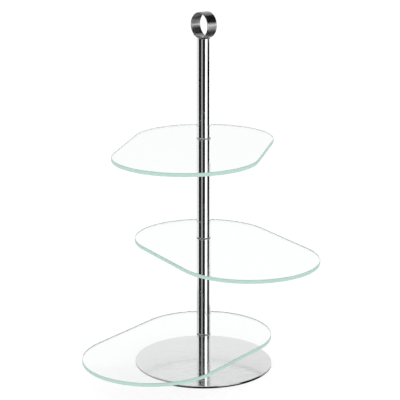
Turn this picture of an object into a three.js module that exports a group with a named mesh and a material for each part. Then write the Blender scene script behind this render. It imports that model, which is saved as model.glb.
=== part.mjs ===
// Tiered cake stand: three glass plates that swivel on a sectional steel pole,
// with a round steel base and a finger ring at the top.
// Millimetres, +Z up. The origin is on the pole axis, on the table under the base pad.

import * as THREE from 'three';

// ---------- Driving dimensions ----------

const BASE_PAD = { radius: 78, thickness: 0.8, edge: 0.2 };
const BASE_DISC = { radius: 79, thickness: 2.2, topEdge: 0.6, lowerEdge: 0.3 };

const TUBE = { radius: 8, wall: 1.2, edge: 0.2 };
const LOWER_TUBE_LENGTH = 30;
const POLE_SECTION_LENGTH = 110;

const PLUG_LENGTH = 10;
const PLUG_CLEARANCE = 0.05;
const PLUG_CHAMFER = 0.4;

const STUD = { radius: 2.5, chamfer: 0.4, depthInPlug: 8 };
const THREAD_CLEARANCE = 0.05;

const SCREW_HEAD = { radius: 4.2, sink: 0.1, clearance: 0.1 };

const PLATE = { endRadius: 78, thickness: 4, edge: 0.5, holeRadius: 5 };
const PLATE_LENGTH_BETWEEN_END_CENTRES = 96;
const PLATE_RUNNING_GAP = 0.05;

const WASHER = { thickness: 0.5, innerRadius: 3.2, outerRadius: 8 };
const BUSH = { innerRadius: 2.7, outerRadius: 4.7 };

const TOP_CAP = { flange: 0.7, edge: 0.2 };
const FINGER_RING = { radius: 14.4, wall: 1.2, width: 13.4, edge: 0.3 };

// The way each plate points, in degrees about the pole from +X, from the bottom tier up.
const TIERS = [
  { name: 'bottom_tier', turn: 283.5 },
  { name: 'middle_tier', turn: 348.4 },
  { name: 'top_tier', turn: 307.2 },
];

const ROUND_SEGMENTS = { disc: 72, ring: 48, pole: 36, small: 24, plateEnd: 32 };
const DISC_EDGE_STEPS = 2;

// ---------- Levels worked out from the dimensions ----------

const DISC_UNDERSIDE = BASE_PAD.thickness;
const DISC_TOP = DISC_UNDERSIDE + BASE_DISC.thickness;
const BUSH_LENGTH = PLATE.thickness + 2 * PLATE_RUNNING_GAP;
const CLAMPED_STACK = BUSH_LENGTH + 2 * WASHER.thickness;
const TIER_PITCH = POLE_SECTION_LENGTH + CLAMPED_STACK;
const FIRST_STACK = DISC_TOP + LOWER_TUBE_LENGTH;
const POLE_TOP = FIRST_STACK + TIERS.length * TIER_PITCH;
const RING_CENTRE = POLE_TOP + TOP_CAP.flange + FINGER_RING.radius;

const BORE_RADIUS = STUD.radius + THREAD_CLEARANCE;
const PLUG_RADIUS = TUBE.radius - TUBE.wall - PLUG_CLEARANCE;

// ---------- Materials ----------

const makeMaterial = (color, roughness, metalness) =>
  new THREE.MeshStandardMaterial({ color, roughness, metalness });

const polishedSteel = makeMaterial(0xc8cacc, 0.1, 1);
const brushedSteel = makeMaterial(0xd4d5d6, 0.32, 1);
const satinSteel = makeMaterial(0xb8b9bb, 0.36, 1);
const platedSteel = makeMaterial(0xb4b6ba, 0.4, 1);
const foam = makeMaterial(0x2b2b2d, 0.9, 0);
const nylon = makeMaterial(0xe9eae6, 0.5, 0);
const clearPlastic = makeMaterial(0xe4eae8, 0.25, 0);
const glass = makeMaterial(0xdcf2e8, 0.03, 0);
glass.transparent = true;
glass.opacity = 0.35;

// ---------- Shape helpers ----------

const stand = new THREE.Group();

function addPiece(name, geometry, material, parent = stand) {
  const mesh = new THREE.Mesh(geometry, material);
  mesh.name = name;
  parent.add(mesh);
  return mesh;
}

const point = (radius, height) => new THREE.Vector2(radius, height);

// A quarter round about a centre, from a direction in degrees; one step makes it a chamfer.
function quarterRound(centreRadius, centreHeight, edge, fromDegrees, steps = 1) {
  const points = [];
  for (let step = 0; step <= steps; step += 1) {
    const angle = THREE.MathUtils.degToRad(fromDegrees + (90 * step) / steps);
    points.push(point(centreRadius + edge * Math.cos(angle), centreHeight + edge * Math.sin(angle)));
  }
  return points;
}

// A solid turned about +Z from an outline of (radius, height) points, given anticlockwise.
function turned(outline, segments) {
  const geometry = new THREE.LatheGeometry(outline, segments);
  geometry.rotateX(Math.PI / 2);
  return geometry;
}

const closed = (outline) => [...outline, outline[0].clone()];

// A hollow round piece with square edges.
function ringBlock(innerRadius, outerRadius, low, high, segments) {
  const outline = [
    point(innerRadius, low),
    point(outerRadius, low),
    point(outerRadius, high),
    point(innerRadius, high),
  ];
  return turned(closed(outline), segments);
}

// A hollow round piece whose outer edges are chamfered and whose bore is straight.
function sleeve(innerRadius, outerRadius, low, high, edge, segments) {
  const outline = [
    point(innerRadius, low),
    ...quarterRound(outerRadius - edge, low + edge, edge, -90),
    ...quarterRound(outerRadius - edge, high - edge, edge, 0),
    point(innerRadius, high),
  ];
  return turned(closed(outline), segments);
}

// A solid round bar with chamfered ends.
function bar(radius, low, high, chamfer, segments) {
  const outline = [
    point(0, low),
    point(radius - chamfer, low),
    point(radius, low + chamfer),
    point(radius, high - chamfer),
    point(radius - chamfer, high),
    point(0, high),
  ];
  return turned(outline, segments);
}

// ---------- Base ----------

// A full round foam pad, stuck under the disc, gives the stand its flat foot.
function basePad() {
  const { radius, thickness, edge } = BASE_PAD;
  const outline = [
    point(0, 0),
    point(radius - edge, 0),
    point(radius, edge),
    point(radius, thickness),
    point(0, thickness),
  ];
  return turned(outline, ROUND_SEGMENTS.disc);
}

// The disc's centre hole is countersunk from below for the base screw.
function baseDisc() {
  const { radius, topEdge, lowerEdge } = BASE_DISC;
  const sinkRadius = SCREW_HEAD.radius + SCREW_HEAD.clearance;
  const sinkTop = DISC_UNDERSIDE + SCREW_HEAD.sink + (SCREW_HEAD.radius - STUD.radius);
  const outline = [
    point(sinkRadius, DISC_UNDERSIDE),
    ...quarterRound(radius - lowerEdge, DISC_UNDERSIDE + lowerEdge, lowerEdge, -90),
    ...quarterRound(radius - topEdge, DISC_TOP - topEdge, topEdge, 0, DISC_EDGE_STEPS),
    point(STUD.radius + SCREW_HEAD.clearance, DISC_TOP),
    point(STUD.radius + SCREW_HEAD.clearance, sinkTop),
    point(sinkRadius, DISC_UNDERSIDE + SCREW_HEAD.sink),
  ];
  return turned(closed(outline), ROUND_SEGMENTS.disc);
}

// A countersunk screw holds the pole to the disc.
function baseScrew() {
  const headLow = DISC_UNDERSIDE + SCREW_HEAD.sink;
  const headHigh = headLow + (SCREW_HEAD.radius - STUD.radius);
  const tip = DISC_TOP + STUD.depthInPlug;
  const outline = [
    point(0, headLow),
    point(SCREW_HEAD.radius, headLow),
    point(STUD.radius, headHigh),
    point(STUD.radius, tip - STUD.chamfer),
    point(STUD.radius - STUD.chamfer, tip),
    point(0, tip),
  ];
  return turned(outline, ROUND_SEGMENTS.small);
}

// ---------- Pole sections ----------

const tubeShell = (low, high) =>
  sleeve(TUBE.radius - TUBE.wall, TUBE.radius, low, high, TUBE.edge, ROUND_SEGMENTS.pole);

const threadedPlug = (low, high) =>
  sleeve(BORE_RADIUS, PLUG_RADIUS, low, high, PLUG_CHAMFER, ROUND_SEGMENTS.pole);

// A thin steel tube with a threaded plug fixed in each end.
function addPoleSection(name, low, length, hasTopPlug) {
  const high = low + length;
  addPiece(`${name}_tube`, tubeShell(low, high), polishedSteel);
  addPiece(`${name}_tube_lower_plug`, threadedPlug(low, low + PLUG_LENGTH), platedSteel);
  if (hasTopPlug) {
    addPiece(`${name}_tube_upper_plug`, threadedPlug(high - PLUG_LENGTH, high), platedSteel);
  }
}

// ---------- Tiers ----------

// A plate with two half-round ends; its hole is at the centre of one end.
function glassPlate() {
  const { endRadius, thickness, edge, holeRadius } = PLATE;
  const outline = new THREE.Shape();
  outline.absarc(0, 0, endRadius, Math.PI / 2, (3 * Math.PI) / 2, false);
  outline.absarc(PLATE_LENGTH_BETWEEN_END_CENTRES, 0, endRadius, -Math.PI / 2, Math.PI / 2, false);
  outline.closePath();
  const hole = new THREE.Path();
  hole.absarc(0, 0, holeRadius + edge, 0, 2 * Math.PI, true);
  outline.holes.push(hole);
  return new THREE.ExtrudeGeometry(outline, {
    depth: thickness - 2 * edge,
    curveSegments: ROUND_SEGMENTS.plateEnd,
    bevelEnabled: true,
    bevelThickness: edge,
    bevelSize: edge,
    bevelOffset: -edge,
    bevelSegments: 1,
  });
}

const washer = (low) =>
  ringBlock(WASHER.innerRadius, WASHER.outerRadius, low, low + WASHER.thickness, ROUND_SEGMENTS.pole);

// A stud joins the pole sections through the plate. The bush around it is a little longer
// than the plate is thick, so the sections tighten on the bush and the plate still turns.
function addTier({ name, turn }, stackLow) {
  const bushLow = stackLow + WASHER.thickness;
  const bushHigh = bushLow + BUSH_LENGTH;
  const stackHigh = stackLow + CLAMPED_STACK;

  const stud = bar(STUD.radius, stackLow - STUD.depthInPlug, stackHigh + STUD.depthInPlug,
    STUD.chamfer, ROUND_SEGMENTS.small);
  const bush = ringBlock(BUSH.innerRadius, BUSH.outerRadius, bushLow, bushHigh, ROUND_SEGMENTS.small);

  addPiece(`${name}_stud`, stud, platedSteel);
  addPiece(`${name}_lower_washer`, washer(stackLow), clearPlastic);
  addPiece(`${name}_bush`, bush, nylon);
  addPiece(`${name}_upper_washer`, washer(bushHigh), clearPlastic);

  const plateTurn = new THREE.Group();
  plateTurn.rotation.z = THREE.MathUtils.degToRad(turn);
  plateTurn.position.z = bushLow + PLATE_RUNNING_GAP + PLATE.edge;
  stand.add(plateTurn);
  addPiece(`${name}_glass_plate`, glassPlate(), glass, plateTurn);
}

// ---------- Finger ring ----------

// The cap closes the top tube; its spigot is threaded like the other plugs.
function topCap() {
  const high = POLE_TOP + TOP_CAP.flange;
  const low = POLE_TOP - PLUG_LENGTH;
  const outline = [
    point(BORE_RADIUS, low),
    point(PLUG_RADIUS - PLUG_CHAMFER, low),
    point(PLUG_RADIUS, low + PLUG_CHAMFER),
    point(PLUG_RADIUS, POLE_TOP),
    point(TUBE.radius, POLE_TOP),
    ...quarterRound(TUBE.radius - TOP_CAP.edge, high - TOP_CAP.edge, TOP_CAP.edge, 0),
    point(BORE_RADIUS, high),
  ];
  return turned(closed(outline), ROUND_SEGMENTS.pole);
}

// A stud is welded under the ring and screws into the cap.
function ringStud() {
  const high = POLE_TOP + TOP_CAP.flange;
  return bar(STUD.radius, high - STUD.depthInPlug - TOP_CAP.flange, high, STUD.chamfer,
    ROUND_SEGMENTS.small);
}

// A flat band bent to a circle, its axis along Y, with softened rims.
function fingerRing() {
  const { radius, wall, width, edge } = FINGER_RING;
  const half = width / 2;
  const inner = radius - wall;
  const outline = [
    ...quarterRound(inner + edge, -half + edge, edge, 180),
    ...quarterRound(radius - edge, -half + edge, edge, 270),
    ...quarterRound(radius - edge, half - edge, edge, 0),
    ...quarterRound(inner + edge, half - edge, edge, 90),
  ];
  return new THREE.LatheGeometry(closed(outline), ROUND_SEGMENTS.ring);
}

// ---------- Assembly, from the table up ----------

addPiece('base_pad', basePad(), foam);
addPiece('base_disc', baseDisc(), brushedSteel);
addPiece('base_screw', baseScrew(), platedSteel);
addPoleSection('lower', DISC_TOP, LOWER_TUBE_LENGTH, true);

const sectionNames = ['middle', 'upper', 'top'];
TIERS.forEach((tier, index) => {
  const stackLow = FIRST_STACK + index * TIER_PITCH;
  const isTopSection = index === TIERS.length - 1;
  addTier(tier, stackLow);
  addPoleSection(sectionNames[index], stackLow + CLAMPED_STACK, POLE_SECTION_LENGTH, !isTopSection);
});

addPiece('top_cap', topCap(), polishedSteel);
addPiece('ring_stud', ringStud(), platedSteel);
const fingerRingMesh = addPiece('finger_ring', fingerRing(), satinSteel);
fingerRingMesh.position.z = RING_CENTRE;

export default stand;
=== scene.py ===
import math

import bpy
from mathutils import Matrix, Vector


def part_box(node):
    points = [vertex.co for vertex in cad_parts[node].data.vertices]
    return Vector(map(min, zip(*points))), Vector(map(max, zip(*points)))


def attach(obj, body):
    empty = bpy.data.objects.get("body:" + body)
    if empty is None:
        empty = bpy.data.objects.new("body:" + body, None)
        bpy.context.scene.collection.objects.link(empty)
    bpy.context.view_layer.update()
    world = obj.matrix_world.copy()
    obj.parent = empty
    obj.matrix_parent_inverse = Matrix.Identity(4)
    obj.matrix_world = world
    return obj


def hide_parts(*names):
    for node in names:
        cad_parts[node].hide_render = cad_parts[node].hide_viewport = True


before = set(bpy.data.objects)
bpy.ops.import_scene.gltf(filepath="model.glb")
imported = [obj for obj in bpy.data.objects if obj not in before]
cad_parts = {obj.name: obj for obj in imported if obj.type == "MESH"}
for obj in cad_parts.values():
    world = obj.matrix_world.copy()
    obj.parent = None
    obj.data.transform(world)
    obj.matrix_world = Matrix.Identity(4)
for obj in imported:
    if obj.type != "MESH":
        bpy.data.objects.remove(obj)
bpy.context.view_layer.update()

MM = 0.001

# ---------- The camera, on the pictured side of the stand ----------

CAMERA_AZIMUTH = 48.74      # degrees round the pole, from -Y towards +X
CAMERA_DISTANCE = 1.5467    # metres from the pole's axis, level
CAMERA_HEIGHT = 0.5958
CAMERA_PITCH = 14.50        # degrees below the horizon
CAMERA_YAW = 0.152          # degrees to the left of the pole
CAMERA_LENS = 127.56        # millimetres, on a sensor 36 mm wide
CAMERA_SENSOR = 36
CAMERA_REACH = (0.05, 60)   # the nearest and farthest that it sees, in metres

# ---------- The studio: panels on a circle, seen only in reflections ----------

PANEL_CIRCLE = 1.45         # the circle's radius, in metres
PANEL_STEP = 3              # degrees round the circle for each facet of a panel
# The wall to the left of the stand and in front of it is made of panels in three rows. The pole
# mirrors the two lower rows straight, and the top row by way of the plates and the disc.
WALL_LEVELS = (-0.56, -0.38, 0.30, 0.80)
# Each panel's first and last direction in degrees, to the right of the camera, and its brightness
# in the lowest, middle and top row.
WALL_PANELS = (
    (-150, -86, (0.60, 0.80, 0.90)),
    (-86, -41, (0.004, 0.005, 0.01)),
    (-41, -14, (0.25, 0.33, 0.36)),
    (-14, 23, (0.004, 0.005, 0.02)),
    (23, 61, (1.10, 1.30, 2.10)),
)
DARK = 0.004                # what the pole, the disc and the ring mirror as black
# The other panels: first and last direction, lowest and highest level, brightness.
OTHER_PANELS = (
    (61, 103, -0.56, 0.18, 0.006),     # to the right, where the finger ring looks too
    (61, 103, 0.18, 0.42, 0.60),
    (61, 103, 0.42, 0.63, 0.04),
    (103, 150, -0.50, -0.42, 0.50),
    (103, 150, -0.42, -0.12, 0.98),
    (103, 150, -0.12, 0.42, 1.40),
    (103, 150, 0.42, 0.63, 0.80),
    (150, 195, -0.56, 0.45, 1.10),     # behind the stand
    (195, 210, -0.56, 0.45, 1.02),
    (150, 210, 0.45, 1.30, 0.90),      # where the plates and the disc look
    (138, 195, 1.30, 2.60, 0.34),      # over the last ones, for the top of the ring
    (-60, 6, 0.80, 1.60, 0.20),        # over the front ones, for what is seen from behind
    (103, 150, -0.56, -0.50, DARK),    # dark skirting, where the ring looks down past the plates
    (60, 210, -0.80, -0.56, DARK),
    (-150, 60, -0.66, -0.56, DARK),
    (-150, -60, -0.78, -0.66, 0.35),   # sills that the disc's rim mirrors
    (-60, -30, -0.78, -0.66, 0.12),
    (-30, 60, -0.78, -0.66, 0.05),
)
PIT_LEVEL = -0.80           # a dark round under the floor, seen only in reflections
FLOOR_RADIUS = 14
FLOOR_WHITENESS = 0.22      # the share of the light on it that it scatters
FLOOR_LIFT = 0.84           # its own even glow, which brings it up to white
FLOOR_SEGMENTS = 96

# ---------- Light paths ----------

LIGHT_BOUNCES = 40          # light that runs the length of a plate is reflected inside it many times
MIRROR_BOUNCES = 24

# ---------- Fineness of the meshes ----------

POLE_SEGMENTS = 96
DISC_SEGMENTS = 256
RING_SEGMENTS = 160
SMALL_SEGMENTS = 48
PLATE_END_STEPS = 112
PLATE_SIDE_STEPS = 8
EDGE_STEPS = 6
SUPPORT_SHARE = 0.2         # the narrow flat strip beside a rounded edge, as a share of its radius
SHARP_ANGLE = math.radians(32)

# ---------- Rounded edges, walls, threads and holes ----------

TUBE_EDGE = 0.15 * MM
CAP_EDGE = 0.2 * MM
RING_EDGE = 0.55 * MM
DISC_TOP_EDGE = 0.7 * MM
DISC_LOWER_EDGE = 0.35 * MM
PLATE_EDGE = 0.6 * MM
HOLE_EDGE = 0.4 * MM
WASHER_EDGE = 0.2 * MM
BUSH_EDGE = 0.3 * MM
PAD_EDGE = 0.25 * MM
PLUG_EDGE = 0.4 * MM
TUBE_WALL = 1.2 * MM
RING_WALL = 1.2 * MM
THREAD_RADIUS = 2.5 * MM
THREAD_PITCH = 0.8 * MM
THREAD_DEPTH = 0.42 * MM
THREAD_FIT = 0.06 * MM      # the gap between a stud's thread and its bore's
THREAD_STEPS_PER_TURN = 8
THREAD_FLANK = 0.8          # the share of a thread's pitch that its two slopes take up
PLATE_HOLE_RADIUS = 5 * MM
WASHER_HOLE_RADIUS = 3.2 * MM
BUSH_HOLE_RADIUS = 2.7 * MM
SCREW_SOCKET_RADIUS = 1.7 * MM
SCREW_SOCKET_DEPTH = 1.6 * MM
SCREW_SOCKET_CENTRE = 1.2   # the depth of its drilled centre, as a share of the socket's depth
SCREW_CLEARANCE = 0.1 * MM
RIM_UNDERCUT = 0.12 * MM    # how much smaller the disc's radius is at its lower face
SHEET_LEVELNESS = 0.8       # how level a facet of the disc must be to count as brushed sheet
DISC_GRAIN = 20             # the way the disc is brushed, in degrees from the camera's azimuth

TIERS = ("bottom", "middle", "top")


# ---------- Mesh helpers ----------

def make_object(name, vertices, faces, material):
    mesh = bpy.data.meshes.new(name)
    mesh.from_pydata(vertices, [], faces)
    mesh.validate()
    mesh.polygons.foreach_set("use_smooth", [True] * len(mesh.polygons))
    mesh.set_sharp_from_angle(angle=SHARP_ANGLE)
    mesh.materials.append(material)
    piece = bpy.data.objects.new(name, mesh)
    bpy.context.scene.collection.objects.link(piece)
    return piece


def softened(corners):
    """A closed outline from (x, y, edge radius) corners, with each corner rounded to its radius."""
    outline = []
    for index, (x, y, edge) in enumerate(corners):
        corner = Vector((x, y))
        if edge == 0:
            outline.append((x, y))
            continue
        before = (Vector(corners[index - 1][:2]) - corner).normalized()
        after = (Vector(corners[(index + 1) % len(corners)][:2]) - corner).normalized()
        half_angle = before.angle(after) / 2
        centre = corner + (before + after).normalized() * edge / math.sin(half_angle)
        reach = edge / math.tan(half_angle)
        support = reach + edge * SUPPORT_SHARE
        first_arm = corner + before * reach - centre
        last_arm = corner + after * reach - centre
        start = math.atan2(first_arm.y, first_arm.x)
        sweep = math.remainder(math.atan2(last_arm.y, last_arm.x) - start, 2 * math.pi)
        outline.append(tuple(corner + before * support))
        for step in range(EDGE_STEPS + 1):
            angle = start + sweep * step / EDGE_STEPS
            outline.append((centre.x + edge * math.cos(angle), centre.y + edge * math.sin(angle)))
        outline.append(tuple(corner + after * support))
    return outline


def outer_side(radius, low, high, edge):
    """The points up the outside of a round solid, with both its edges rounded."""
    return softened([(0, low, 0), (radius, low, edge), (radius, high, edge), (0, high, 0)])[1:-1]


def round_sleeve(inner, outer, low, high, edge):
    """The outline of a hollow round piece with four rounded edges."""
    return softened([(inner, low, edge), (outer, low, edge), (outer, high, edge), (inner, high, edge)])


def revolved(name, outline_at, segments, material):
    """A body turned about Z. outline_at(angle) gives its (radius, height) points, anticlockwise.
    An outline that starts and ends on the axis makes a solid; any other closes on itself."""
    outlines = [outline_at(2 * math.pi * turn / segments) for turn in range(segments)]
    count = len(outlines[0])
    solid = outlines[0][0][0] == 0
    vertices, faces = [], []
    for turn, outline in enumerate(outlines):
        angle = 2 * math.pi * turn / segments
        for radius, height in outline[1:-1] if solid else outline:
            vertices.append((radius * math.cos(angle), radius * math.sin(angle), height))
    rows = count - 2 if solid else count
    for turn in range(segments):
        here = turn * rows
        there = (turn + 1) % segments * rows
        for row in range(rows - 1 if solid else rows):
            above = (row + 1) % rows
            faces.append((here + row, there + row, there + above, here + above))
    if solid:
        low, high = len(vertices), len(vertices) + 1
        vertices += [(0, 0, outlines[0][0][1]), (0, 0, outlines[0][-1][1])]
        for turn in range(segments):
            here = turn * rows
            there = (turn + 1) % segments * rows
            faces.append((low, there, here))
            faces.append((here + rows - 1, there + rows - 1, high))
    return make_object(name, vertices, faces, material)


def turned(name, outline, segments, material):
    return revolved(name, lambda angle: outline, segments, material)


def thread_radius(height, angle):
    """The radius of one screw thread, the same for every stud and the plugs it fits."""
    phase = (height / THREAD_PITCH - angle / (2 * math.pi)) % 1
    from_crest = abs(2 * phase - 1)
    sunk = (from_crest - (1 - THREAD_FLANK) / 2) / THREAD_FLANK
    return THREAD_RADIUS - THREAD_DEPTH * min(1, max(0, sunk))


def thread_heights(low, high):
    steps = math.ceil((high - low) / THREAD_PITCH * THREAD_STEPS_PER_TURN)
    return [low + (high - low) * step / steps for step in range(steps + 1)]


def extent(node):
    """A round node's outer radius, its lowest and its highest level."""
    low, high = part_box(node)
    return (high.x - low.x) / 2, low.z, high.z


def place(piece, body, slot, *nodes):
    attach(piece, body)
    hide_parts(*nodes)


# ---------- Material helpers ----------

NOISE_LOW = 0.32            # most of a noise texture's values lie between these two
NOISE_HIGH = 0.68


class Recipe:
    """A node material in the making, with one Principled shader."""

    def __init__(self, name, **sockets):
        self.material = bpy.data.materials.new(name)
        self.material.use_nodes = True
        self.tree = self.material.node_tree
        self.shader = self.tree.nodes["Principled BSDF"]
        for label, value in sockets.items():
            self.shader.inputs[label.replace("_", " ")].default_value = value
        self.place = self.tree.nodes.new("ShaderNodeTexCoord").outputs["Object"]

    def link(self, source, target):
        self.tree.links.new(source, target)

    def noise(self, scale, detail=3, stretch=(1, 1, 1), turn=0):
        """Noise of about scale spots a metre, drawn out by stretch along axes turned about Z."""
        mapping = self.tree.nodes.new("ShaderNodeMapping")
        mapping.vector_type = "TEXTURE"
        mapping.inputs["Rotation"].default_value[2] = math.radians(turn)
        mapping.inputs["Scale"].default_value = stretch
        self.link(self.place, mapping.inputs["Vector"])
        texture = self.tree.nodes.new("ShaderNodeTexNoise")
        texture.inputs["Scale"].default_value = scale
        texture.inputs["Detail"].default_value = detail
        self.link(mapping.outputs["Vector"], texture.inputs["Vector"])
        return texture.outputs["Fac"]

    def spread(self, source, low, high):
        """The middle of a noise's range, spread from low to high."""
        node = self.tree.nodes.new("ShaderNodeMapRange")
        node.inputs["From Min"].default_value = NOISE_LOW
        node.inputs["From Max"].default_value = NOISE_HIGH
        node.inputs["To Min"].default_value = low
        node.inputs["To Max"].default_value = high
        self.link(source, node.inputs["Value"])
        return node.outputs["Result"]

    def combine(self, operation, first, second):
        node = self.tree.nodes.new("ShaderNodeMath")
        node.operation = operation
        for source, socket in ((first, node.inputs[0]), (second, node.inputs[1])):
            if isinstance(source, (int, float)):
                socket.default_value = source
            else:
                self.link(source, socket)
        return node.outputs["Value"]

    def colours(self, source, *stops):
        """A colour ramp: stops are (position, (red, green, blue))."""
        ramp = self.tree.nodes.new("ShaderNodeValToRGB")
        elements = ramp.color_ramp.elements
        while len(elements) < len(stops):
            elements.new(0.5)
        for element, (position, colour) in zip(elements, stops):
            element.position = position
            element.color = (*colour, 1)
        self.link(source, ramp.inputs["Fac"])
        self.link(ramp.outputs["Color"], self.shader.inputs["Base Color"])

    def rough(self, source):
        self.link(source, self.shader.inputs["Roughness"])

    def bump(self, source, depth):
        node = self.tree.nodes.new("ShaderNodeBump")
        node.inputs["Distance"].default_value = depth
        node.inputs["Strength"].default_value = 1
        self.link(source, node.inputs["Height"])
        self.link(node.outputs["Normal"], self.shader.inputs["Normal"])

    def blur_along(self, x, y):
        """Brushing across this level direction widens reflections along it."""
        node = self.tree.nodes.new("ShaderNodeCombineXYZ")
        node.inputs["X"].default_value = x
        node.inputs["Y"].default_value = y
        self.link(node.outputs["Vector"], self.shader.inputs["Tangent"])


# ---------- Materials ----------

FACE_LEVELNESS = 0.97       # how level a point of a plate must be to count as its polished face
EDGE_MINT = (0.65, 0.93, 0.84)
# Painted shade: a darker, greyer mint for the rounded arrises, so each rim shows darker lines along
# its top and bottom.
ARRIS_PAINTED_SHADE = (0.58, 0.75, 0.70)
GLASS_GREEN = (0.70, 0.93, 0.86, 1)
GLASS_DENSITY = 9.0
EDGE_MILKINESS = 0.68       # how far the ground edge of the glass scatters light


def polished_steel():
    """Drawn and polished tube: mirror bright, with hairline marks along it and faint smears."""
    recipe = Recipe("polished_steel", Metallic=1.0)
    hairlines = recipe.noise(2600, 2, stretch=(1, 1, 60))
    smears = recipe.noise(55, 4)
    recipe.colours(smears, (0.35, (0.90, 0.905, 0.91)), (0.65, (0.94, 0.94, 0.94)))
    lines = recipe.spread(hairlines, 0.0, 0.03)
    clouds = recipe.spread(smears, 0.03, 0.06)
    recipe.rough(recipe.combine("ADD", lines, clouds))
    recipe.bump(hairlines, 0.0001 * MM)
    return recipe.material


def satin_steel():
    """A band brushed along its length: the fine scratches round it widen what it mirrors along Y."""
    recipe = Recipe("satin_steel", Metallic=1.0, Anisotropic=0.9)
    scratches = recipe.noise(2800, 3, stretch=(40, 1, 40))
    smears = recipe.noise(70, 3)
    recipe.colours(scratches, (0.35, (0.92, 0.92, 0.925)), (0.65, (0.97, 0.97, 0.97)))
    lines = recipe.spread(scratches, 0.31, 0.36)
    clouds = recipe.spread(smears, 0.0, 0.03)
    recipe.rough(recipe.combine("ADD", lines, clouds))
    recipe.bump(scratches, 0.001 * MM)
    recipe.blur_along(0, 1)
    return recipe.material


def turned_edge():
    """The disc's rim: turned and buffed, so its marks run round it."""
    recipe = Recipe("turned_edge", Metallic=1.0)
    marks = recipe.noise(3000, 2, stretch=(40, 40, 1))
    recipe.colours(marks, (0.35, (0.68, 0.68, 0.69)), (0.65, (0.78, 0.78, 0.78)))
    recipe.rough(recipe.spread(marks, 0.08, 0.16))
    recipe.bump(marks, 0.0008 * MM)
    return recipe.material


def brushed_steel(turn):
    """Sheet brushed one way: long fine scratches of differing depth under a satin shine."""
    recipe = Recipe("brushed_steel", Metallic=1.0, Anisotropic=0.4)
    scratches = recipe.noise(2400, 3, stretch=(90, 1, 1), turn=turn)
    streaks = recipe.noise(420, 2, stretch=(60, 1, 1), turn=turn)
    clouds = recipe.noise(24, 3)
    lines = recipe.combine("ADD", recipe.combine("MULTIPLY", streaks, 0.45),
                           recipe.combine("MULTIPLY", scratches, 0.35))
    mixed = recipe.combine("ADD", lines, recipe.combine("MULTIPLY", clouds, 0.2))
    recipe.colours(mixed, (0.36, (0.78, 0.78, 0.785)), (0.5, (0.81, 0.81, 0.81)),
                   (0.64, (0.84, 0.84, 0.835)))
    recipe.rough(recipe.combine("MAXIMUM", recipe.spread(scratches, -0.1, 0.36), 0.08))
    recipe.bump(scratches, 0.0002 * MM)
    recipe.blur_along(-math.sin(math.radians(turn)), math.cos(math.radians(turn)))
    return recipe.material


def plated_steel():
    """Bright zinc plating on the screw, studs and plugs: cloudy, from bluish to faintly yellow."""
    recipe = Recipe("plated_steel", Metallic=1.0)
    clouds = recipe.noise(180, 4)
    grain = recipe.noise(3000, 2)
    recipe.colours(clouds, (0.3, (0.58, 0.60, 0.64)), (0.5, (0.68, 0.69, 0.71)),
                   (0.7, (0.74, 0.73, 0.70)))
    recipe.rough(recipe.spread(clouds, 0.22, 0.42))
    recipe.bump(grain, 0.002 * MM)
    return recipe.material


def plate_glass():
    """Clear float glass: green through its length, polished faces, and finely ground mint edges, with
    painted shade on their rounded arrises.
    """
    recipe = Recipe("plate_glass", IOR=1.52)
    normal = recipe.tree.nodes.new("ShaderNodeNewGeometry").outputs["True Normal"]
    apart = recipe.tree.nodes.new("ShaderNodeSeparateXYZ")
    recipe.link(normal, apart.inputs["Vector"])
    upright = recipe.combine("ABSOLUTE", apart.outputs["Z"], 0)
    edge = recipe.combine("LESS_THAN", upright, FACE_LEVELNESS)
    tilt = recipe.combine("ADD", recipe.combine("MULTIPLY", apart.outputs["Z"], 0.5), 0.5)
    grinding = recipe.noise(1500, 2, stretch=(1, 1, 0.3))
    film = recipe.noise(35, 3)
    # The colour follows each facet's tilt: white on the clear faces, mint on the ground edge, and
    # painted shade on the rounded arrises.
    recipe.colours(tilt, (0.01, (1, 1, 1)), (0.03, ARRIS_PAINTED_SHADE), (0.45, EDGE_MINT), (0.55, EDGE_MINT),
                   (0.7, ARRIS_PAINTED_SHADE), (0.97, ARRIS_PAINTED_SHADE), (0.99, (1, 1, 1)))
    clearness = recipe.combine("SUBTRACT", 1, recipe.combine("MULTIPLY", edge, EDGE_MILKINESS))
    recipe.link(clearness, recipe.shader.inputs["Transmission Weight"])
    edge_roughness = recipe.combine("MULTIPLY", recipe.spread(grinding, 0.55, 0.75), edge)
    recipe.rough(recipe.combine("ADD", edge_roughness, recipe.spread(film, 0.0, 0.008)))
    absorb = recipe.tree.nodes.new("ShaderNodeVolumeAbsorption")
    absorb.inputs["Color"].default_value = GLASS_GREEN
    absorb.inputs["Density"].default_value = GLASS_DENSITY
    output = recipe.tree.nodes["Material Output"]
    recipe.link(absorb.outputs["Volume"], output.inputs["Volume"])
    return recipe.material


def clear_washer():
    """Soft clear plastic that looks milky edge on, with a faint flow pattern."""
    recipe = Recipe("clear_washer", Transmission_Weight=0.2, IOR=1.48)
    flow = recipe.noise(700, 3)
    recipe.colours(flow, (0.35, (0.62, 0.63, 0.63)), (0.65, (0.72, 0.73, 0.73)))
    recipe.rough(recipe.spread(flow, 0.22, 0.38))
    recipe.bump(flow, 0.004 * MM)
    return recipe.material


def nylon_bush():
    """Natural nylon, waxy, with fine turning rings."""
    recipe = Recipe("nylon_bush", Subsurface_Weight=0.15, Subsurface_Scale=0.0008)
    rings = recipe.noise(2200, 2, stretch=(30, 30, 1))
    recipe.colours(rings, (0.35, (0.84, 0.83, 0.78)), (0.65, (0.92, 0.91, 0.88)))
    recipe.rough(recipe.spread(rings, 0.36, 0.52))
    recipe.bump(rings, 0.006 * MM)
    return recipe.material


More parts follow.
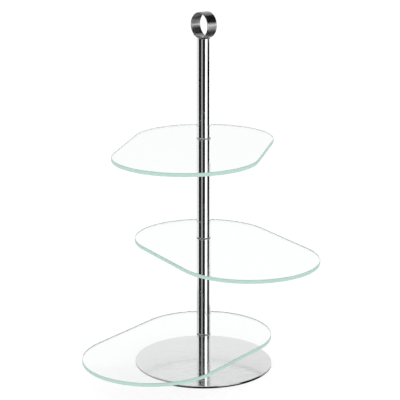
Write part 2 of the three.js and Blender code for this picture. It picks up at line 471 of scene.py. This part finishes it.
def foam_pad():
    """Closed-cell foam rubber: small pores of uneven size and a dull skin, near black, partly its own
    colour and partly painted shadow under the disc's rim.
    """
    recipe = Recipe("foam_pad", Specular_IOR_Level=0.3)
    pores = recipe.noise(2400, 3)
    patches = recipe.noise(90, 2)
    # Near black: the foam's own dark tone, and also painted contact shadow for the dark line under the
    # disc's rim.
    recipe.colours(pores, (0.4, (0.018, 0.018, 0.02)), (0.62, (0.045, 0.045, 0.048)))
    recipe.rough(recipe.spread(patches, 0.78, 0.95))
    recipe.bump(pores, 0.05 * MM)
    return recipe.material


def mixed_by_reflection(tree, seen_directly, seen_reflected, glass_share=0):
    """Joins two shaders: one for what is seen straight or through glass, one for what is mirrored.

    glass_share is 1 where light that has also passed through glass counts as seen straight,
    however often it was mirrored."""
    path = tree.nodes.new("ShaderNodeLightPath")
    through_glass = tree.nodes.new("ShaderNodeMath")
    through_glass.operation = "MULTIPLY"
    through_glass.inputs[1].default_value = LIGHT_BOUNCES * glass_share
    balance = tree.nodes.new("ShaderNodeMath")
    balance.operation = "SUBTRACT"
    mirrored = tree.nodes.new("ShaderNodeMath")
    mirrored.operation = "GREATER_THAN"
    mirrored.inputs[1].default_value = 0.5
    mix = tree.nodes.new("ShaderNodeMixShader")
    tree.links.new(path.outputs["Transmission Depth"], through_glass.inputs[0])
    tree.links.new(path.outputs["Glossy Depth"], balance.inputs[0])
    tree.links.new(through_glass.outputs["Value"], balance.inputs[1])
    tree.links.new(balance.outputs["Value"], mirrored.inputs[0])
    tree.links.new(mirrored.outputs["Value"], mix.inputs["Fac"])
    tree.links.new(seen_directly, mix.inputs[1])
    tree.links.new(seen_reflected, mix.inputs[2])
    return mix.outputs["Shader"]


def studio_panel(name, brightness):
    """An even glow that shows only in reflections."""
    material = bpy.data.materials.new(name)
    material.use_nodes = True
    tree = material.node_tree
    tree.nodes.clear()
    glow = tree.nodes.new("ShaderNodeEmission")
    glow.inputs["Color"].default_value = (brightness, brightness, brightness, 1)
    clear = tree.nodes.new("ShaderNodeBsdfTransparent")
    output = tree.nodes.new("ShaderNodeOutputMaterial")
    surface = mixed_by_reflection(tree, clear.outputs["BSDF"], glow.outputs["Emission"])
    tree.links.new(surface, output.inputs["Surface"])
    return material


def pale_floor():
    """A plain white floor that lets reflections look past it to the panels."""
    recipe = Recipe("pale_floor", Roughness=0.9, Specular_IOR_Level=0.0)
    white = FLOOR_WHITENESS
    recipe.shader.inputs["Base Color"].default_value = (white, white, white, 1)
    recipe.shader.inputs["Emission Color"].default_value = (1, 1, 1, 1)
    recipe.shader.inputs["Emission Strength"].default_value = FLOOR_LIFT
    clear = recipe.tree.nodes.new("ShaderNodeBsdfTransparent")
    surface = mixed_by_reflection(recipe.tree, recipe.shader.outputs["BSDF"], clear.outputs["BSDF"])
    recipe.link(surface, recipe.tree.nodes["Material Output"].inputs["Surface"])
    return recipe.material


# ---------- Base ----------

def make_base(materials):
    radius, low, high = extent("base_pad")
    side = outer_side(radius, low, high, PAD_EDGE)
    pad = turned("foam_pad_disc", [(0, low), *side, (0, high)], DISC_SEGMENTS, materials["foam_pad"])
    place(pad, "stand", "foam_pad", "base_pad")

    screw_radius, screw_low, screw_tip = extent("base_screw")
    disc_radius, disc_low, disc_high = extent("base_disc")
    bore = THREAD_RADIUS + SCREW_CLEARANCE
    sink = screw_radius + SCREW_CLEARANCE
    step = screw_low - disc_low
    disc = turned("base_disc_brushed", softened([
        (sink, disc_low, 0),
        (disc_radius - RIM_UNDERCUT, disc_low, DISC_LOWER_EDGE),
        (disc_radius, disc_high, DISC_TOP_EDGE),
        (bore, disc_high, 0),
        (bore, disc_low + step + sink - bore, 0),
        (sink, disc_low + step, 0),
    ]), DISC_SEGMENTS, materials["brushed_steel"])
    disc.data.materials.append(materials["turned_edge"])
    for face in disc.data.polygons:
        face.material_index = 1 if abs(face.normal.z) < SHEET_LEVELNESS else 0
    place(disc, "stand", "brushed_steel", "base_disc")

    head_high = screw_low + screw_radius - THREAD_RADIUS

    def screw_outline(angle):
        socket = SCREW_SOCKET_RADIUS / math.cos(math.remainder(angle, math.pi / 3))
        points = [
            (0, screw_low + SCREW_SOCKET_DEPTH * SCREW_SOCKET_CENTRE),
            (socket, screw_low + SCREW_SOCKET_DEPTH),
            (socket, screw_low),
            (screw_radius, screw_low),
            (THREAD_RADIUS, head_high),
        ]
        for height in thread_heights(head_high, screw_tip):
            chamfer = THREAD_RADIUS - max(0, THREAD_DEPTH - (screw_tip - height))
            points.append((min(chamfer, thread_radius(height, angle)), height))
        return [*points, (0, screw_tip)]

    screw = revolved("base_screw_threaded", screw_outline, SMALL_SEGMENTS, materials["plated_steel"])
    place(screw, "stand", "plated_steel", "base_screw")


# ---------- Pole ----------

def make_tube(name, materials):
    radius, low, high = extent(f"{name}_tube")
    outline = round_sleeve(radius - TUBE_WALL, radius, low, high, TUBE_EDGE)
    tube = turned(f"{name}_tube_polished", outline, POLE_SEGMENTS, materials["polished_steel"])
    place(tube, "stand", "polished_steel", f"{name}_tube")


def bore_points(low, high, angle):
    """The points of a threaded bore, from its top down."""
    heights = reversed(thread_heights(low, high))
    return [(thread_radius(height, angle) + THREAD_FIT, height) for height in heights]


def make_plug(node, materials):
    radius, low, high = extent(node)
    outside = outer_side(radius, low, high, PLUG_EDGE)
    plug = revolved(f"{node}_threaded", lambda angle: [*outside, *bore_points(low, high, angle)],
                    POLE_SEGMENTS, materials["plated_steel"])
    place(plug, "stand", "plated_steel", node)


def make_stud(node, materials):
    low, high = extent(node)[1:]

    def outline(angle):
        points = [(0, low)]
        for height in thread_heights(low, high):
            from_end = min(height - low, high - height)
            chamfer = THREAD_RADIUS - max(0, THREAD_DEPTH - from_end)
            points.append((min(chamfer, thread_radius(height, angle)), height))
        return [*points, (0, high)]

    stud = revolved(f"{node}_threaded", outline, SMALL_SEGMENTS, materials["plated_steel"])
    place(stud, "stand", "plated_steel", node)


# ---------- Tiers ----------

def edge_profile(thickness, edge):
    """An edge's (inset, height) points from the lower face to the upper one, both arrises rounded."""
    support = edge * SUPPORT_SHARE
    lower = [(edge + support, 0)]
    for step in range(EDGE_STEPS + 1):
        angle = math.pi / 2 * step / EDGE_STEPS
        lower.append((edge * (1 - math.sin(angle)), edge * (1 - math.cos(angle))))
    lower.append((0, edge + support))
    upper = [(inset, thickness - height) for inset, height in reversed(lower)]
    return lower + upper


def plate_stations(far_centre):
    """Round the plate: the centre that each point's radius starts from, and its direction."""
    heading = math.atan2(far_centre.y, far_centre.x)
    first_direction = heading + math.pi / 2
    near = Vector((0, 0))
    ends = ((near, first_direction, far_centre), (far_centre, first_direction - math.pi, near))
    stations = []
    for start, sweep_from, other in ends:
        for step in range(PLATE_END_STEPS + 1):
            stations.append((start, sweep_from + math.pi * step / PLATE_END_STEPS))
        for step in range(1, PLATE_SIDE_STEPS):
            stations.append((start.lerp(other, step / PLATE_SIDE_STEPS), sweep_from + math.pi))
    return stations, first_direction


def make_plate(tier, materials):
    node = f"{tier}_tier_glass_plate"
    low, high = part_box(node)
    end_radius = -low.x
    thickness = high.z - low.z
    far_centre = Vector((high.x - end_radius, low.y + end_radius))
    stations, first_direction = plate_stations(far_centre)
    count = len(stations)

    vertices = []
    for inset, height in edge_profile(thickness, PLATE_EDGE):
        reach = end_radius - inset
        for centre, direction in stations:
            x = centre.x + reach * math.cos(direction)
            y = centre.y + reach * math.sin(direction)
            vertices.append((x, y, low.z + height))
    for inset, height in reversed(edge_profile(thickness, HOLE_EDGE)):
        reach = PLATE_HOLE_RADIUS + inset
        for index in range(count):
            direction = first_direction + 2 * math.pi * index / count
            vertices.append((reach * math.cos(direction), reach * math.sin(direction), low.z + height))

    rows = len(vertices) // count
    faces = []
    for row in range(rows):
        next_row = (row + 1) % rows
        for index in range(count):
            following = (index + 1) % count
            faces.append((row * count + index, row * count + following,
                          next_row * count + following, next_row * count + index))
    plate = make_object(f"{tier}_glass_plate_polished", vertices, faces, materials["plate_glass"])
    place(plate, f"{tier}_plate", "plate_glass", node)


def make_tier(tier, materials):
    make_plate(tier, materials)
    make_stud(f"{tier}_tier_stud", materials)
    for side in ("lower", "upper"):
        node = f"{tier}_tier_{side}_washer"
        radius, low, high = extent(node)
        outline = round_sleeve(WASHER_HOLE_RADIUS, radius, low, high, WASHER_EDGE)
        washer = turned(f"{node}_clear", outline, POLE_SEGMENTS, materials["clear_washer"])
        place(washer, "stand", "clear_washer", node)
    node = f"{tier}_tier_bush"
    radius, low, high = extent(node)
    outline = round_sleeve(BUSH_HOLE_RADIUS, radius, low, high, BUSH_EDGE)
    bush = turned(f"{node}_nylon", outline, SMALL_SEGMENTS, materials["nylon_bush"])
    place(bush, "stand", "nylon_bush", node)


# ---------- Cap and finger ring ----------

def make_cap(materials):
    radius, low, high = extent("top_cap")
    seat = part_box("top_tube")[1].z
    spigot = extent("top_tube_lower_plug")[0]
    outside = softened([
        (0, low, 0),
        (spigot, low, PLUG_EDGE),
        (spigot, seat, 0),
        (radius, seat, 0),
        (radius, high, CAP_EDGE),
        (0, high, 0),
    ])[1:-1]
    cap = revolved("top_cap_polished", lambda angle: [*outside, *bore_points(low, high, angle)],
                   POLE_SEGMENTS, materials["polished_steel"])
    place(cap, "stand", "polished_steel", "top_cap")


def make_ring(materials):
    """The band is turned about Z, then laid over, so that its axis is level, and lifted."""
    low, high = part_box("finger_ring")
    radius = (high.z - low.z) / 2
    centre_level = (high.z + low.z) / 2
    outline = round_sleeve(radius - RING_WALL, radius, low.y, high.y, RING_EDGE)
    ring = turned("finger_ring_band", outline, RING_SEGMENTS, materials["satin_steel"])
    for vertex in ring.data.vertices:
        x, y, z = vertex.co
        vertex.co = (x, -z, centre_level + y)
    ring.data.update()
    place(ring, "stand", "satin_steel", "finger_ring")


# ---------- Studio ----------

def level_round(name, radius, level, material):
    vertices = [(0, 0, level)]
    for turn in range(FLOOR_SEGMENTS):
        angle = 2 * math.pi * turn / FLOOR_SEGMENTS
        vertices.append((radius * math.cos(angle), radius * math.sin(angle), level))
    faces = [(0, 1 + turn, 1 + (turn + 1) % FLOOR_SEGMENTS) for turn in range(FLOOR_SEGMENTS)]
    return make_object(name, vertices, faces, material)


def hide_from_light(panel):
    panel.visible_camera = False
    panel.visible_diffuse = False
    panel.visible_shadow = False


def make_floor():
    floor = level_round("floor", FLOOR_RADIUS, 0, pale_floor())
    floor.visible_glossy = False
    pit = level_round("studio_pit", PANEL_CIRCLE, PIT_LEVEL, studio_panel("studio_pit", DARK))
    hide_from_light(pit)


def make_panel(index, first, last, bottom, top, brightness):
    steps = max(2, int((last - first) / PANEL_STEP))
    vertices, faces = [], []
    for step in range(steps + 1):
        direction = math.radians(CAMERA_AZIMUTH + first + (last - first) * step / steps)
        x = PANEL_CIRCLE * math.sin(direction)
        y = -PANEL_CIRCLE * math.cos(direction)
        vertices += [(x, y, bottom), (x, y, top)]
    for step in range(steps):
        start = 2 * step
        faces.append((start, start + 2, start + 3, start + 1))
    name = f"studio_panel_{index}"
    panel = make_object(name, vertices, faces, studio_panel(name, brightness))
    hide_from_light(panel)


def make_studio():
    world = bpy.data.worlds.new("white_studio")
    world.use_nodes = True
    tree = world.node_tree
    white = tree.nodes["Background"]
    white.inputs["Color"].default_value = (1, 1, 1, 1)
    dark = tree.nodes.new("ShaderNodeBackground")
    dark.inputs["Color"].default_value = (1, 1, 1, 1)
    dark.inputs["Strength"].default_value = DARK
    surface = mixed_by_reflection(tree, white.outputs["Background"], dark.outputs["Background"],
                                  glass_share=1)
    tree.links.new(surface, tree.nodes["World Output"].inputs["Surface"])
    bpy.context.scene.world = world
    make_floor()
    panels = list(OTHER_PANELS)
    for first, last, row_brightness in WALL_PANELS:
        for bottom, top, brightness in zip(WALL_LEVELS, WALL_LEVELS[1:], row_brightness):
            panels.append((first, last, bottom, top, brightness))
    for index, panel in enumerate(panels):
        make_panel(index, *panel)


def make_camera():
    data = bpy.data.cameras.new("camera")
    data.sensor_width = CAMERA_SENSOR
    data.lens = CAMERA_LENS
    data.clip_start, data.clip_end = CAMERA_REACH
    camera = bpy.data.objects.new("camera", data)
    azimuth = math.radians(CAMERA_AZIMUTH)
    camera.location.x = CAMERA_DISTANCE * math.sin(azimuth)
    camera.location.y = -CAMERA_DISTANCE * math.cos(azimuth)
    camera.location.z = CAMERA_HEIGHT
    camera.rotation_euler.x = math.radians(90 - CAMERA_PITCH)
    camera.rotation_euler.z = math.radians(CAMERA_AZIMUTH + CAMERA_YAW)
    bpy.context.scene.collection.objects.link(camera)
    bpy.context.scene.camera = camera


def set_light_paths():
    scene = bpy.context.scene
    scene.view_settings.view_transform = "Standard"
    scene.cycles.max_bounces = LIGHT_BOUNCES
    scene.cycles.transmission_bounces = LIGHT_BOUNCES
    scene.cycles.glossy_bounces = MIRROR_BOUNCES
    scene.cycles.transparent_max_bounces = MIRROR_BOUNCES


# ---------- Assembly ----------

materials = {
    "polished_steel": polished_steel(),
    "brushed_steel": brushed_steel(CAMERA_AZIMUTH + DISC_GRAIN),
    "satin_steel": satin_steel(),
    "turned_edge": turned_edge(),
    "plated_steel": plated_steel(),
    "plate_glass": plate_glass(),
    "clear_washer": clear_washer(),
    "nylon_bush": nylon_bush(),
    "foam_pad": foam_pad(),
}

make_camera()
make_studio()
set_light_paths()
make_base(materials)
for name in ("lower", "middle", "upper", "top"):
    make_tube(name, materials)
    make_plug(f"{name}_tube_lower_plug", materials)
    if name != "top":
        make_plug(f"{name}_tube_upper_plug", materials)
for tier in TIERS:
    make_tier(tier, materials)
make_cap(materials)
make_stud("ring_stud", materials)
make_ring(materials)
